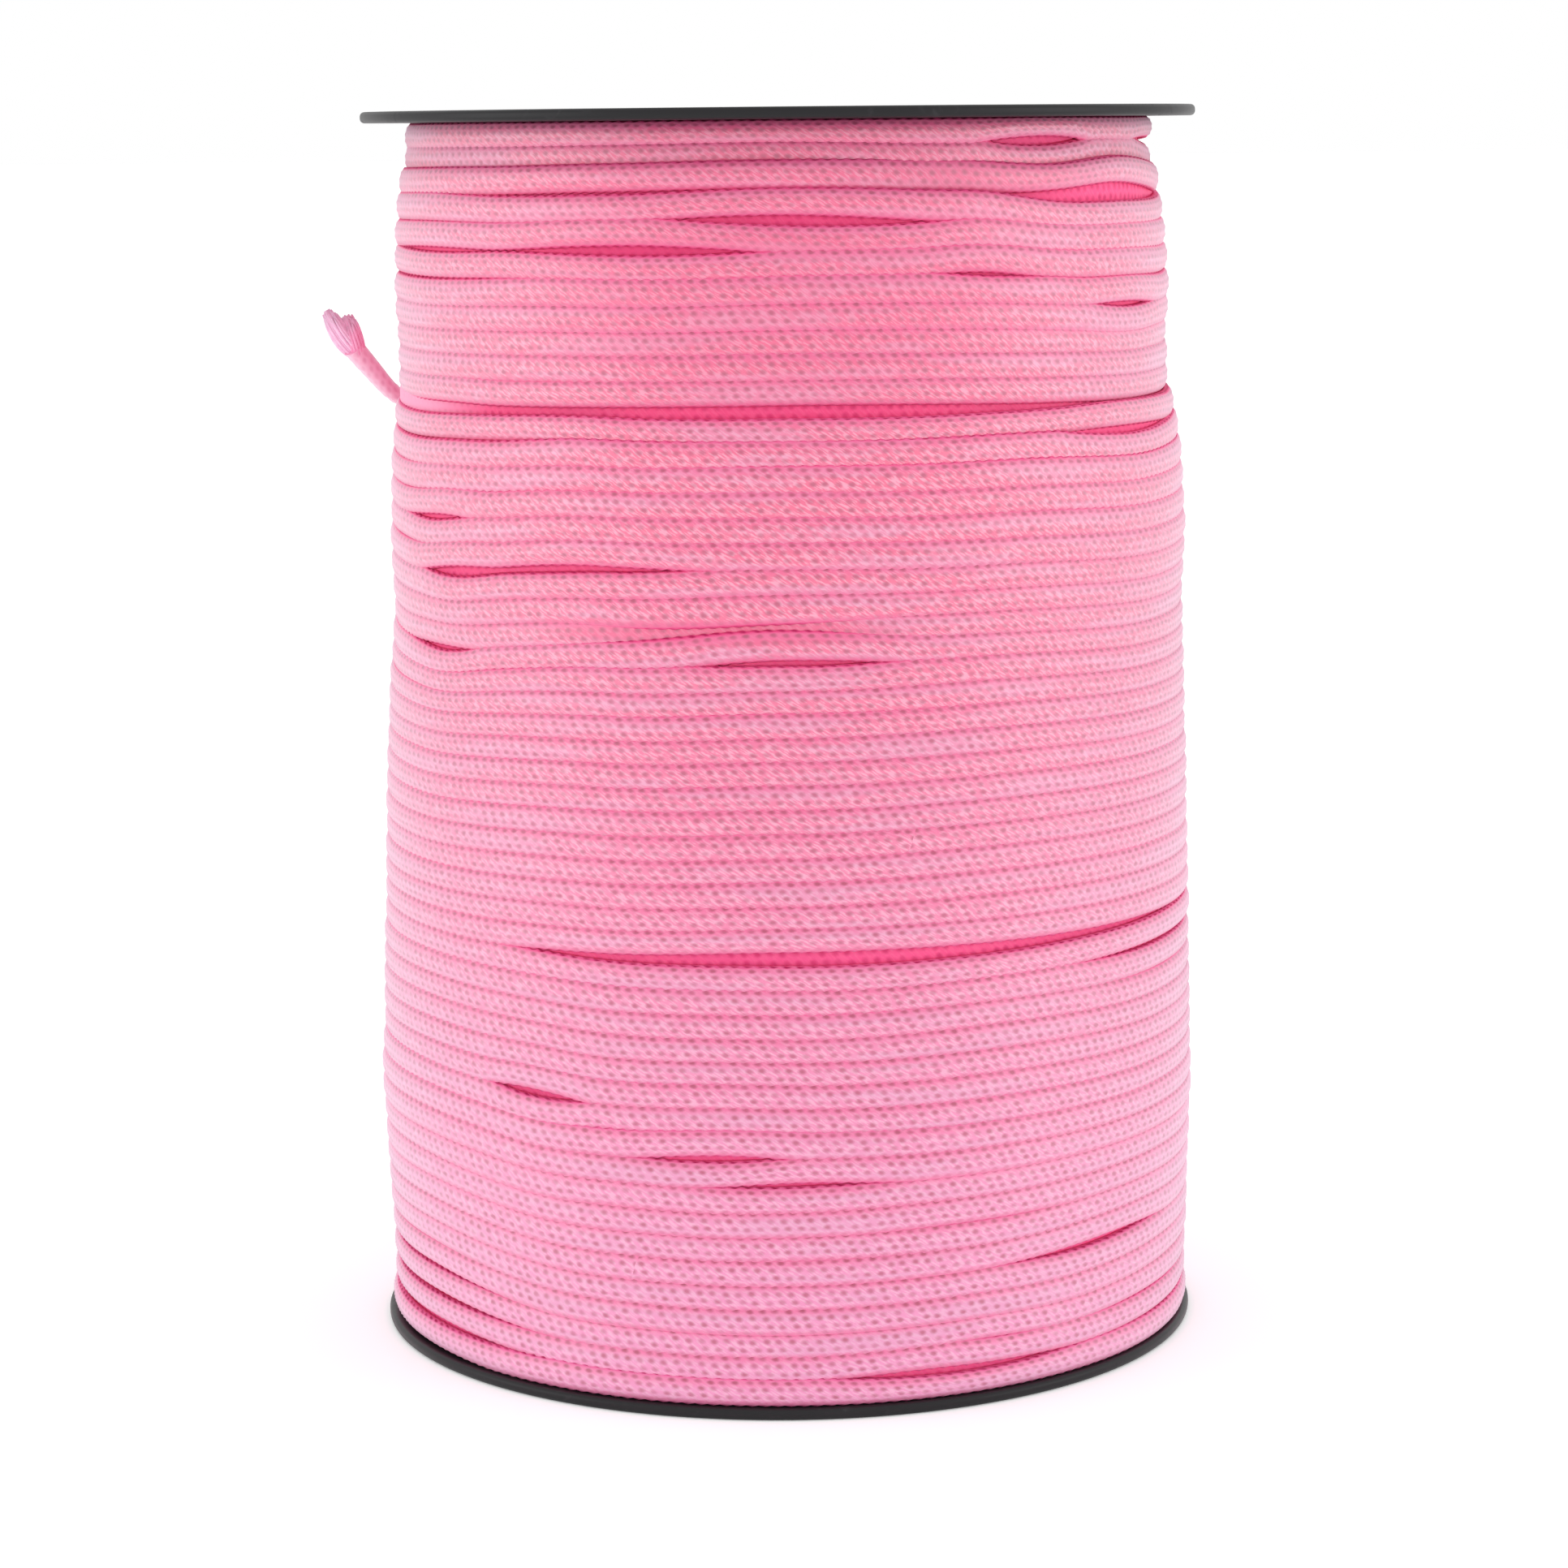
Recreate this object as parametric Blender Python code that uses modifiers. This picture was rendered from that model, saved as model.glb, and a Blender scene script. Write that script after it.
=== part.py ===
# A roll of soft braided craft cord, wound on a plastic spool that stands on its lower flange.
# Metres, +Z up. The spool's axis is the Z axis and the foot of that axis is the origin.
# Azimuth is in degrees about the axis: 0 faces -Y, 90 faces +X, -90 faces -X and 180 faces +Y.

import math
from collections import namedtuple

import bpy
from mathutils import Vector

MM = 0.001

# Driving dimensions
SPOOL_HEIGHT = 244 * MM
FLANGE_DIAMETER = 165 * MM
FLANGE_THICKNESS = 2.2 * MM
CORD_DIAMETER = 3.4 * MM
TURNS = 51
CLEARANCE = 0.3 * MM

# Flange details
RIM_ROUNDING = 0.9 * MM
RIM_WIDTH = 7 * MM
HUB_RADIUS = 21 * MM
WEB_RECESS = 0.7 * MM
WEB_SLOPE = 1.5 * MM
ROUNDING_STEPS = 3
FLANGE_SIDES = 48

# Winding. Where turns part, the joint between them deepens by a share of the opening's width, and the
# neighbours give way over a few turns, but for those held by a flange.
WINDING_FOOT = FLANGE_THICKNESS + CLEARANCE
WINDING_TOP = SPOOL_HEIGHT - WINDING_FOOT
TURN_PITCH = (WINDING_TOP - WINDING_FOOT) / TURNS
GROOVE_DEPTH = 1.1 * MM
DEEPENING_SHARE = 0.8
PUSHED_TURNS = 3.0
HELD_TURNS = 1.5
WINDING_SIDES = 48

# The lay of the turns is known over the front. It fades to an even spacing behind.
LAY_AZIMUTHS = (-62, -25, 0, 25, 62)
LAY_FADE_END = 130

# The winding's outline: its radius at each height, and how far its middle drifts towards +X, all in mm
Girth = namedtuple("Girth", "height radius drift")
GIRTHS = (
    Girth(2.5, 82.0, 0.1),
    Girth(10, 81.2, 0.4),
    Girth(30, 82.0, 0.2),
    Girth(50, 82.8, 0.0),
    Girth(60, 82.3, 0.2),
    Girth(84, 81.7, 0.4),
    Girth(110, 81.0, 0.5),
    Girth(133, 80.1, 0.7),
    Girth(150, 79.2, 1.3),
    Girth(164, 79.7, 1.3),
    Girth(176, 79.2, 1.2),
    Girth(186, 78.1, 0.9),
    Girth(191, 76.7, 0.6),
    Girth(203, 76.5, 0.5),
    Girth(211, 77.0, 0.5),
    Girth(222, 76.3, 0.2),
    Girth(229, 75.6, 0.2),
    Girth(233, 74.0, 0.0),
    Girth(236, 73.4, 0.0),
    Girth(241.5, 74.2, 0.3),
)

# How far the turns lie above an even spacing, in mm, at the five azimuths of LAY_AZIMUTHS
Lay = namedtuple("Lay", "turn left inner_left middle inner_right right")
LAYS = (
    Lay(0, 0, 0, 0, 0, 0),
    Lay(1.5, 1.5, 0, 0, 0.2, 0.8),
    Lay(4, 3.5, 0.1, 0, 0, 1.6),
    Lay(8, 2.8, 0.2, 0.8, 0.9, 1.1),
    Lay(12, 2.4, 0.8, 1.1, 1.0, 0.3),
    Lay(16, 1.2, 0.1, 0.5, 1.2, -0.4),
    Lay(18, 0.8, 0.6, 1.2, 1.1, 1.2),
    Lay(21, -0.8, 0.2, 1.1, 1.5, 1.2),
    Lay(25, -1.9, -0.3, 0.9, 1.0, 0.2),
    Lay(28, -3.5, -1.2, 0.4, 0.1, -1.0),
    Lay(30, -5.6, -1.5, 0.2, 0.1, -1.9),
    Lay(32, -5.2, -2.2, -1.5, -1.2, -2.6),
    Lay(34, -4.9, -1.7, -1.3, -1.7, -3.0),
    Lay(38, -3.6, -1.8, -1.0, -1.4, -2.5),
    Lay(40, -0.8, -0.6, -0.7, -0.9, -1.4),
    Lay(44, -1.1, -0.2, 0.3, -0.2, -2.0),
    Lay(48, 0.8, 0.9, 1.2, 0.7, 0.2),
    Lay(51, 0, 0, 0, 0, 0),
)

# Where two neighbouring turns part: the joint between them counted from below, the azimuth of the
# opening's middle, how far it reaches to each side in degrees, and its width in mm
Parting = namedtuple("Parting", "joint azimuth reach width")
PARTINGS = (
    Parting(1, 23, 25, 1.2),
    Parting(2, 28, 15, 0.5),
    Parting(5, 50, 25, 0.9),
    Parting(9, 0, 23, 0.9),
    Parting(10, -9, 14, 1.0),
    Parting(12, -36, 12, 1.3),
    Parting(18, 10, 66, 2.4),
    Parting(30, 5, 18, 1.3),
    Parting(31, -57, 9, 0.7),
    Parting(34, -56, 10, 1.6),
    Parting(34, -35, 24, 0.7),
    Parting(36, -59, 9, 0.7),
    Parting(39, 58, 24, 1.2),
    Parting(40, 4, 52, 1.9),
    Parting(44, 60, 16, 0.9),
    Parting(45, 30, 13, 0.6),
    Parting(46, -20, 28, 1.4),
    Parting(46, -60, 25, 0.5),
    Parting(47, 2, 26, 1.5),
    Parting(48, 50, 26, 1.6),
    Parting(48, 0, 75, 0.8),
    Parting(50, 42, 16, 1.6),
    Parting(7, 152, 30, 1.1),
    Parting(14, -128, 34, 1.4),
    Parting(23, 168, 40, 1.6),
    Parting(33, 122, 28, 1.2),
    Parting(39, -132, 38, 3.4),
    Parting(43, 160, 36, 1.5),
    Parting(49, -140, 30, 1.2),
)

# Where one turn has sunk between its neighbours, with the depth in mm
Sunk = namedtuple("Sunk", "turn azimuth reach depth")
SUNK_TURNS = (
    Sunk(31.5, -8, 30, 1.2),
    Sunk(48.5, 22, 24, 0.8),
    Sunk(26.5, 140, 34, 0.9),
)

# The loose end's own points, in mm. It comes out of a parted joint at the back left, swings clear of the
# winding and turns up.
LOOSE_END_ROUTE = (
    (-52.1, 57.9, 185.1),
    (-57.0, 53.2, 185.1),
    (-62.8, 46.1, 184.8),
    (-67.7, 39.3, 184.3),
    (-72.4, 32.9, 183.9),
    (-76.4, 27.4, 184.6),
    (-80.1, 22.2, 187.5),
    (-83.6, 17.6, 192.3),
    (-86.9, 13.4, 197.0),
)
LOOSE_END_POINTS = 10
ROUTE_STEPS = 24
CORD_BEVEL_RESOLUTION = 2


def smooth(fraction):
    """A value from 0 to 1 that starts and ends level."""
    fraction = max(0.0, min(1.0, fraction))
    return fraction * fraction * (3 - 2 * fraction)


def between(value, low, high):
    return (value - low) / (high - low)


def read_table(rows, key, column, value):
    """A column of a table, read straight between the rows whose keys enclose the value."""
    value = max(getattr(rows[0], key), min(getattr(rows[-1], key), value))
    for lower, upper in zip(rows, rows[1:]):
        if value <= getattr(upper, key):
            share = between(value, getattr(lower, key), getattr(upper, key))
            start = getattr(lower, column)
            return start + share * (getattr(upper, column) - start)
    return getattr(rows[-1], column)


def bump(azimuth, middle, reach):
    """1 in the middle of a reach of azimuths, falling to 0 at its ends."""
    away = abs((azimuth - middle + 180) % 360 - 180) / reach
    return smooth(1 - away)


def lay_height(turn, azimuth):
    """How far a turn lies above its even place, before any neighbours part."""
    heights = [read_table(LAYS, "turn", column, turn) for column in Lay._fields[1:]]
    marks = [(-LAY_FADE_END, 0.0), *zip(LAY_AZIMUTHS, heights), (LAY_FADE_END, 0.0)]
    for (left, start), (right, stop) in zip(marks, marks[1:]):
        if left <= azimuth <= right:
            return (start + smooth(between(azimuth, left, right)) * (stop - start)) * MM
    return 0.0


def parting_push(turn, azimuth):
    """How far the partings push a turn up or down. The push dies away over a few turns."""
    push = 0.0
    for parting in PARTINGS:
        away = turn - parting.joint
        if away:
            opening = parting.width * MM * bump(azimuth, parting.azimuth, parting.reach)
            push += math.copysign(opening / 2, away) * math.exp((0.5 - abs(away)) / PUSHED_TURNS)
    return push * min(1.0, turn / HELD_TURNS, (TURNS - turn) / HELD_TURNS)


def opening_depth(turn, azimuth):
    """How far a joint or a turn lies deeper because turns part or sink there."""
    depth = 0.0
    for parting in PARTINGS:
        if parting.joint == turn:
            depth += DEEPENING_SHARE * parting.width * MM * bump(azimuth, parting.azimuth, parting.reach)
    for sunk in SUNK_TURNS:
        if sunk.turn == turn:
            depth += sunk.depth * MM * bump(azimuth, sunk.azimuth, sunk.reach)
    return depth


def make_material(name, colour, roughness):
    material = bpy.data.materials.new(name)
    material.use_nodes = True
    shader = material.node_tree.nodes["Principled BSDF"]
    shader.inputs["Base Color"].default_value = (*colour, 1.0)
    shader.inputs["Roughness"].default_value = roughness
    shader.inputs["Metallic"].default_value = 0.0
    return material


def turned_piece(name, profile, sides, material, collection):
    """A profile of (radius, height) points, running down the outer side, turned about the Z axis."""
    mesh = bpy.data.meshes.new(name)
    points = [(radius, 0.0, height) for radius, height in profile]
    edges = [(index, index + 1) for index in range(len(points) - 1)]
    mesh.from_pydata(points, edges, [])
    mesh.materials.append(material)
    piece = bpy.data.objects.new(name, mesh)
    collection.objects.link(piece)
    screw = piece.modifiers.new("turn", "SCREW")
    screw.axis = "Z"
    screw.steps = sides
    screw.render_steps = sides
    screw.use_merge_vertices = True
    screw.merge_threshold = 0.00001
    screw.use_smooth_shade = True
    return piece


def flange_profile():
    """The lower flange's section: flat inside, rounded at the rim, with a dished web outside."""
    radius = FLANGE_DIAMETER / 2
    middle = radius - RIM_ROUNDING
    corners = ((FLANGE_THICKNESS - RIM_ROUNDING, 90), (RIM_ROUNDING, 0))
    profile = [(0.0, FLANGE_THICKNESS)]
    for height, start in corners:
        for step in range(ROUNDING_STEPS + 1):
            turn = math.radians(start - 90 * step / ROUNDING_STEPS)
            profile.append((middle + RIM_ROUNDING * math.cos(turn), height + RIM_ROUNDING * math.sin(turn)))
    profile += [
        (radius - RIM_WIDTH, 0.0),
        (radius - RIM_WIDTH - WEB_SLOPE, WEB_RECESS),
        (HUB_RADIUS + WEB_SLOPE, WEB_RECESS),
        (HUB_RADIUS, 0.0),
        (0.0, 0.0),
    ]
    return profile


def add_flanges(material, collection):
    lower = flange_profile()
    upper = [(radius, SPOOL_HEIGHT - height) for radius, height in reversed(lower)]
    turned_piece("flange_bottom", lower, FLANGE_SIDES, material, collection)
    turned_piece("flange_top", upper, FLANGE_SIDES, material, collection)


def winding_profile():
    """The winding's even section, with a crest on each turn and a groove at each joint."""
    profile = [(0.0, WINDING_TOP)]
    for half_turn in range(2 * TURNS, -1, -1):
        height = WINDING_FOOT + half_turn * TURN_PITCH / 2
        radius = read_table(GIRTHS, "height", "radius", height / MM) * MM
        is_joint = half_turn % 2 == 0
        profile.append((radius - GROOVE_DEPTH if is_joint else radius, height))
    profile.append((0.0, WINDING_FOOT))
    return profile


def add_winding(material, collection):
    """The turned winding, with its vertices then moved to the turns' real lay."""
    winding = turned_piece("wound_cord", winding_profile(), WINDING_SIDES, material, collection)
    depsgraph = bpy.context.evaluated_depsgraph_get()
    mesh = bpy.data.meshes.new_from_object(winding.evaluated_get(depsgraph))
    winding.modifiers.clear()
    winding.data = mesh
    for vertex in mesh.vertices:
        across = math.hypot(vertex.co.x, vertex.co.y)
        if across < CLEARANCE:
            continue
        azimuth = math.degrees(math.atan2(vertex.co.x, -vertex.co.y))
        turn = round(2 * (vertex.co.z - WINDING_FOOT) / TURN_PITCH) / 2
        drift = read_table(GIRTHS, "height", "drift", vertex.co.z / MM) * MM
        shrink = 1 - opening_depth(turn, azimuth) / across
        lift = lay_height(turn, azimuth) + parting_push(turn, azimuth)
        vertex.co = Vector((vertex.co.x * shrink + drift, vertex.co.y * shrink, vertex.co.z + lift))
    mesh.update()


def smooth_route(points, count):
    """Evenly spaced points on a smooth curve through the given ones."""
    ends = [2 * points[0] - points[1], *points, 2 * points[-1] - points[-2]]
    fine = []
    for before, start, stop, after in zip(ends, ends[1:], ends[2:], ends[3:]):
        for step in range(ROUTE_STEPS):
            t = step / ROUTE_STEPS
            fine.append(
                0.5 * (
                    2 * start
                    + (stop - before) * t
                    + (2 * before - 5 * start + 4 * stop - after) * t ** 2
                    + (3 * start - before - 3 * stop + after) * t ** 3
                )
            )
    fine.append(points[-1])
    lengths = [0.0]
    for start, stop in zip(fine, fine[1:]):
        lengths.append(lengths[-1] + (stop - start).length)
    route = []
    segment = 0
    for index in range(count):
        wanted = lengths[-1] * index / (count - 1)
        while segment < len(fine) - 2 and lengths[segment + 1] < wanted:
            segment += 1
        share = between(wanted, lengths[segment], lengths[segment + 1])
        route.append(fine[segment].lerp(fine[segment + 1], share))
    return route


def add_loose_end(material, collection):
    curve = bpy.data.curves.new("loose_end", "CURVE")
    curve.dimensions = "3D"
    curve.bevel_depth = CORD_DIAMETER / 2
    curve.bevel_resolution = CORD_BEVEL_RESOLUTION
    curve.use_fill_caps = True
    curve.materials.append(material)
    route = smooth_route([Vector(point) * MM for point in LOOSE_END_ROUTE], LOOSE_END_POINTS)
    spline = curve.splines.new("POLY")
    spline.points.add(len(route) - 1)
    for point, place in zip(spline.points, route):
        point.co = (*place, 1.0)
    collection.objects.link(bpy.data.objects.new("loose_end", curve))


def main():
    for item in list(bpy.data.objects):
        bpy.data.objects.remove(item, do_unlink=True)
    collection = bpy.data.collections.new("roll_of_craft_cord")
    bpy.context.scene.collection.children.link(collection)
    plastic = make_material("black_plastic", (0.02, 0.02, 0.022), 0.35)
    wound = make_material("wound_cord", (0.95, 0.33, 0.52), 0.7)
    loose = make_material("loose_cord", (0.95, 0.45, 0.62), 0.7)
    add_flanges(plastic, collection)
    add_winding(wound, collection)
    add_loose_end(loose, collection)


main()
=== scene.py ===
import math

import bpy
import numpy as np
from mathutils import Matrix, Vector


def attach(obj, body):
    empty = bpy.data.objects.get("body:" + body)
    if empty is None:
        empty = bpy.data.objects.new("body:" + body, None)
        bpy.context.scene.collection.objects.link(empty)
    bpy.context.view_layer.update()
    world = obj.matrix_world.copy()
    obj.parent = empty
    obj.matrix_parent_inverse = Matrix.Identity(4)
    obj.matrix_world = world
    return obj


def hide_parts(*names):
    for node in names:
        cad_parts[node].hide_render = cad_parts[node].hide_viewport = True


# A standing roll of braided craft cord. Metres, +Z up, and the spool's axis is the Z axis.
# Azimuth is in degrees about that axis: 0 faces the camera (-Y), 90 faces +X and -90 faces -X.
# A place along the wound cord is counted in turns from below. A turn starts and ends at the back.

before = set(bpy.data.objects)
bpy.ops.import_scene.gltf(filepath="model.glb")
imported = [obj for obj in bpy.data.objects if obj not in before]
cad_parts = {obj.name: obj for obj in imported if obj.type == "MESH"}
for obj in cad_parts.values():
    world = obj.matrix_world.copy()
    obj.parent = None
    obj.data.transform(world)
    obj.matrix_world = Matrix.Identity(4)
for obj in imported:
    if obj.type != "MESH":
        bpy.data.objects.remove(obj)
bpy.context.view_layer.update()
mm = 0.001
print("loaded the frame:", ", ".join(sorted(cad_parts)))

cameraValues = {
    "distance": 0.8274,
    "height": 0.2407,
    "pitch": 9.1,
    "roll": 0.57,
    "lens": 94.46,
}


def addCamera(values):
    data = bpy.data.cameras.new("camera")
    data.lens = values["lens"]
    data.sensor_width = 36
    data.clip_start = 0.01
    data.clip_end = 100
    camera = bpy.data.objects.new("camera", data)
    bpy.context.scene.collection.objects.link(camera)
    place = Matrix.Translation((0, -values["distance"], values["height"]))
    tilt = Matrix.Rotation(math.radians(90 - values["pitch"]), 4, "X")
    roll = Matrix.Rotation(math.radians(-values["roll"]), 4, "Z")
    camera.matrix_world = place @ tilt @ roll
    bpy.context.scene.camera = camera


addCamera(cameraValues)
print("placed the camera")


# An output socket of a material on which plain maths can be done
class Wire:
    def __init__(self, tree, socket=None):
        self.tree = tree
        self.socket = socket

    # Any node: its settings come first, then the values or wires of its sockets
    def node(self, kind, settings=None, sockets=None, output=0):
        made = self.tree.nodes.new("ShaderNode" + kind)
        for name, value in (settings or {}).items():
            setattr(made, name, value)
        for name, value in (sockets or {}).items():
            if isinstance(value, Wire):
                self.tree.links.new(value.socket, made.inputs[name])
            else:
                made.inputs[name].default_value = value
        return Wire(self.tree, made.outputs[output])

    def output(self, name):
        return Wire(self.tree, self.socket.node.outputs[name])

    def maths(self, operation, *others):
        return self.node("Math", {"operation": operation}, dict(enumerate((self, *others))))

    # 0 below low and 1 above high, with a soft step between them
    def step(self, low, high):
        settings = {"interpolation_type": "SMOOTHSTEP"}
        return self.node("MapRange", settings, {"Value": self, "From Min": low, "From Max": high})

    def vector(self, *parts):
        return self.node("CombineXYZ", sockets=dict(enumerate(parts)))

    def mix(self, factor, first, second):
        return self.node("Mix", {"data_type": "RGBA"}, {0: factor, 6: first, 7: second}, 2)

    def __add__(self, other):
        return self.maths("ADD", other)

    def __sub__(self, other):
        return self.maths("SUBTRACT", other)

    def __mul__(self, other):
        return self.maths("MULTIPLY", other)

    def __rsub__(self, other):
        return self.node("Math", {"operation": "SUBTRACT"}, {0: other, 1: self})

    __radd__ = __add__
    __rmul__ = __mul__


def colour(red, green, blue):
    channels = (red / 255, green / 255, blue / 255)
    return (*(c / 12.92 if c < 0.04045 else ((c + 0.055) / 1.055) ** 2.4 for c in channels), 1)


def newMaterial(name, constants):
    material = bpy.data.materials.new(name)
    material.use_nodes = True
    shader = material.node_tree.nodes["Principled BSDF"]
    for socket, value in constants.items():
        shader.inputs[socket].default_value = value
    return material, shader, Wire(material.node_tree)


def connect(material, shader, wires):
    for socket, wire in wires.items():
        material.node_tree.links.new(wire.socket, shader.inputs[socket])


cordColours = {
    "low": colour(233, 130, 181),  # painted light and shade: paler at the foot of the roll, where light bounced from the floor falls, and deeper towards its top
    "high": colour(234, 79, 127),
    "pale": colour(242, 184, 208),
    "lilac": colour(220, 148, 188),
    # painted shade in the grooves where the turns meet
    "grooveShade": colour(234, 84, 144),
    # painted shade inside the holes between the strands
    "hole": colour(176, 32, 88),
    "sheen": colour(246, 226, 240),
    # painted shade at the places listed below
    "deep": colour(228, 50, 118),
}
# Painted shade on the front: where the yarn is coloured deeper for the shade that falls there, as x, z and
# their reaches in mm, then a share. The first is the roll's whole upper part, and the others are turns that
# have sunk.
shadedPlaces = [
    (0, 222, 66, 46, 0.36),
    (-13, 148.6, 44, 3.2, 0.7),
    (44, 231, 26, 4, 0.5),
    (-10, 219, 40, 3, 0.4),
]
# The layer below: its colours are deeper and more saturated than the outer turns', as painted shade for the
# joints that it lies in
shadedBelowColours = {
    **cordColours,
    "low": colour(244, 90, 150),
    "high": colour(244, 84, 140),
    "pale": colour(250, 112, 158),
    "lilac": colour(230, 84, 142),
    "grooveShade": colour(236, 70, 134),
    "hole": colour(206, 40, 104),
    "risen": colour(226, 164, 190),
}
looseColours = {
    **cordColours,
    "low": colour(238, 118, 166),
    "high": colour(238, 112, 158),
    # painted shade inside the holes, fainter on the loose end
    "hole": colour(206, 96, 146),
    "cutEnd": colour(246, 196, 218),
}


yarnValues = {
    "shadeHeight": 0.18,  # how far up, in metres, the painted shade goes on deepening the colour
    "grooveShadeBelow": (0.7, 1.6),  # the rows over which the painted shade at the lower edge's groove fades out
    "grooveShadeAbove": (2.8, 4.0),  # and those over which the upper edge's painted groove shade sets in
    "pressedBelow": (0.1, 0.8),  # the same for the strips that the neighbours press on
    "pressedAbove": (4.1, 4.8),
    "holeAlong": 2.7,  # how narrow a hole is along the cord, and across it
    "holeAcross": 2.6,
    "holeSlant": 0.35,
    "holeEdge": (0.2, 1.25),  # where a hole's soft edge begins and ends
    "holeShare": 0.5,  # the least share of a hole's painted shade, what chance adds and what the painted groove shade at the edges adds
    "holeChance": 0.4,
    "holeInGrooveShade": 0.3,
    "strandShare": 0.5,  # how far the strands pale and the drifts turn to lilac
    "driftShare": 0.4,
    "bump": 0.12 * mm,
}


# The braid's look. Its map "braid" runs in holes along the cord and in rows of holes across it.
# The first share sets how far painted shade deepens the wound cord's edges in the grooves between turns,
# gloss is how far its outer side shines, bloom is the white bloom of its fibres, and the glow is a painted
# glow, a faint emission that stands in for the light that deep joints pass on. A second shader without
# bloom covers the strips that the neighbours press on.
def cordMaterial(name, colours, grooveShadeShare, gloss, bloom, paintedGlow, values=yarnValues):
    constants = {
        "Specular IOR Level": 0.35,
        "Sheen Weight": bloom,
        "Sheen Roughness": 0.52,
        "Sheen Tint": colours["sheen"],
        "Coat Roughness": 0.45,
        "Coat IOR": 2.0,
        # Painted glow: a faint emission that stands in for the light that deep joints pass on
        "Emission Color": colours["low"],
        "Emission Strength": paintedGlow,
    }
    material, shader, start = newMaterial(name, constants)
    braid = start.node("UVMap", {"uv_map": "braid"})
    split = braid.node("SeparateXYZ", sockets={0: braid})
    along, across = split.output("X"), split.output("Y")
    place = start.node("TexCoord", output="Object")
    height = place.node("SeparateXYZ", sockets={0: place}, output="Z")
    # Painted shade: the cord's edges are coloured deeper where the turns meet in grooves
    lowerGrooveShade = 1 - across.step(*values["grooveShadeBelow"])
    grooveShade = across.step(*values["grooveShadeAbove"]).maths("MAXIMUM", lowerGrooveShade) * grooveShadeShare

    # Holes, half a period further along in every other row, each a little off its place. Their dark colour
    # is painted shade, the shadow inside each hole between the strands
    row = across.maths("ROUND")
    shifted = along + row * 0.5
    hole = shifted.maths("ROUND")
    spot = hole.vector(hole, row, 0)
    chance = start.node("TexWhiteNoise", {"noise_dimensions": "2D"}, {"Vector": spot}, 1)
    parts = chance.node("SeparateXYZ", sockets={0: chance})
    offAlong = (shifted - hole + (parts.output("X") - 0.5) * 0.16) * values["holeAlong"]
    offAcross = (across - row + (parts.output("Y") - 0.5) * 0.2) * values["holeAcross"]
    offAcross = offAcross + offAlong * values["holeSlant"]
    away = (offAlong * offAlong + offAcross * offAcross).maths("SQRT")
    seen = 1 - (1 - across.step(1.0, 1.9)) * min(grooveShadeShare, 0.7)
    strength = parts.output("Z") * values["holeChance"] + values["holeShare"]
    strength = strength + grooveShade * values["holeInGrooveShade"]
    shadedHoles = (1 - away.step(*values["holeEdge"])) * strength * seen

    # Strands and their fibres run down to the right
    over = across * 2.6 + along * 2.3
    under = along * 0.5 - across * 0.2
    fibres = start.node("TexNoise", {"noise_dimensions": "2D"},
                        {"Vector": over.vector(over, under, 0), "Scale": 1.6, "Detail": 2.0})
    # Broad drifts of tone along each turn
    stretched = along.vector(along * 0.06, across * 0.45, 0)
    drift = start.node("TexNoise", {"noise_dimensions": "2D"},
                       {"Vector": stretched, "Scale": 1.0, "Detail": 2.0})
    # Painted light and shade: the colour deepens with height, standing in for the light that falls on the
    # roll
    heightShaded = start.mix(height.step(0, values["shadeHeight"]), colours["low"], colours["high"])
    stranded = start.mix(fibres.step(0.44, 0.62) * values["strandShare"], heightShaded, colours["pale"])
    tinted = start.mix(drift.step(0.46, 0.66) * values["driftShare"], stranded, colours["lilac"])
    if "cutEnd" in colours:
        # The cord turns paler towards its cut end
        paling = along.step(11, 17.5) * 0.9
        tinted = start.mix(paling, tinted, colours["cutEnd"])
        shadedHoles = shadedHoles * (1 - paling * 0.6)
    # Painted shade: the yarn is coloured deeper at each listed place
    for x, z, reachX, reachZ, share in shadedPlaces:
        middle, narrowing = (x * mm, -0.08, z * mm), (1 / reachX / mm, 9, 1 / reachZ / mm)
        apart = place.node("VectorMath", {"operation": "SUBTRACT"}, {0: place, 1: middle})
        apart = place.node("VectorMath", {"operation": "MULTIPLY"}, {0: apart, 1: narrowing})
        near = 1 - place.node("VectorMath", {"operation": "LENGTH"}, {0: apart}, 1).step(0.5, 1)
        tinted = start.mix(near * share, tinted, colours["deep"])
    # Painted shade in the grooves where the turns meet
    grooveShaded = start.mix(grooveShade, tinted, colours["grooveShade"])
    # Painted shade: the holes are coloured dark
    painted = start.mix(shadedHoles, grooveShaded, colours["hole"])
    if "risen" in colours:
        # By the loose end the layer below comes up to the surface, and there its painted shade gives way to
        # a tone as pale as the outer one
        side = place.node("SeparateXYZ", sockets={0: place}, output="X")
        level = height.step(0.176, 0.18) * (1 - height.step(0.192, 0.196))
        risen = (1 - side.step(-0.07, -0.052)) * level
        painted = start.mix(risen * 0.85, painted, colours["risen"])

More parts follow.
